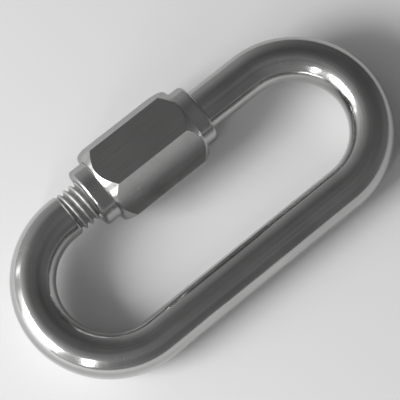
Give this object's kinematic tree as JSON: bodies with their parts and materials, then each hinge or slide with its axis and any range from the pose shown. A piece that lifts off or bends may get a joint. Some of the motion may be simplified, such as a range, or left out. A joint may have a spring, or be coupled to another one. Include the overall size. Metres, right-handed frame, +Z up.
{
  "type": "chain quick link",
  "caption": "Oval screw link bent from round stainless bar, with a hexagon sleeve nut that bridges and closes its gate, for joining chain, cable or rope.",
  "frame": {"origin": "On the surface that the link lies on, below the middle of its outline as seen from above.", "axes": "+X runs along the link from the short threaded end towards the long one, the way the nut opens. +Y points across the loop to the nut's side. +Z is up, out of the surface that the link lies on."},
  "size_m": [0.076, 0.039, 0.014],
  "materials": {
    "bar_steel": "polished stainless bar with fine drawing lines along its length",
    "nut_steel": "polished stainless flats, with turned collars and cones"
  },
  "bodies": {
    "link": {"link_body": "bar_steel"},
    "nut": {"sleeve_nut": "nut_steel"}
  },
  "joints": [
    {"name": "nut_travel", "type": "slide", "parent": "link", "child": "nut", "axis": [1, 0, 0], "range_m": [-0.00375, 0.00875]}
  ]
}
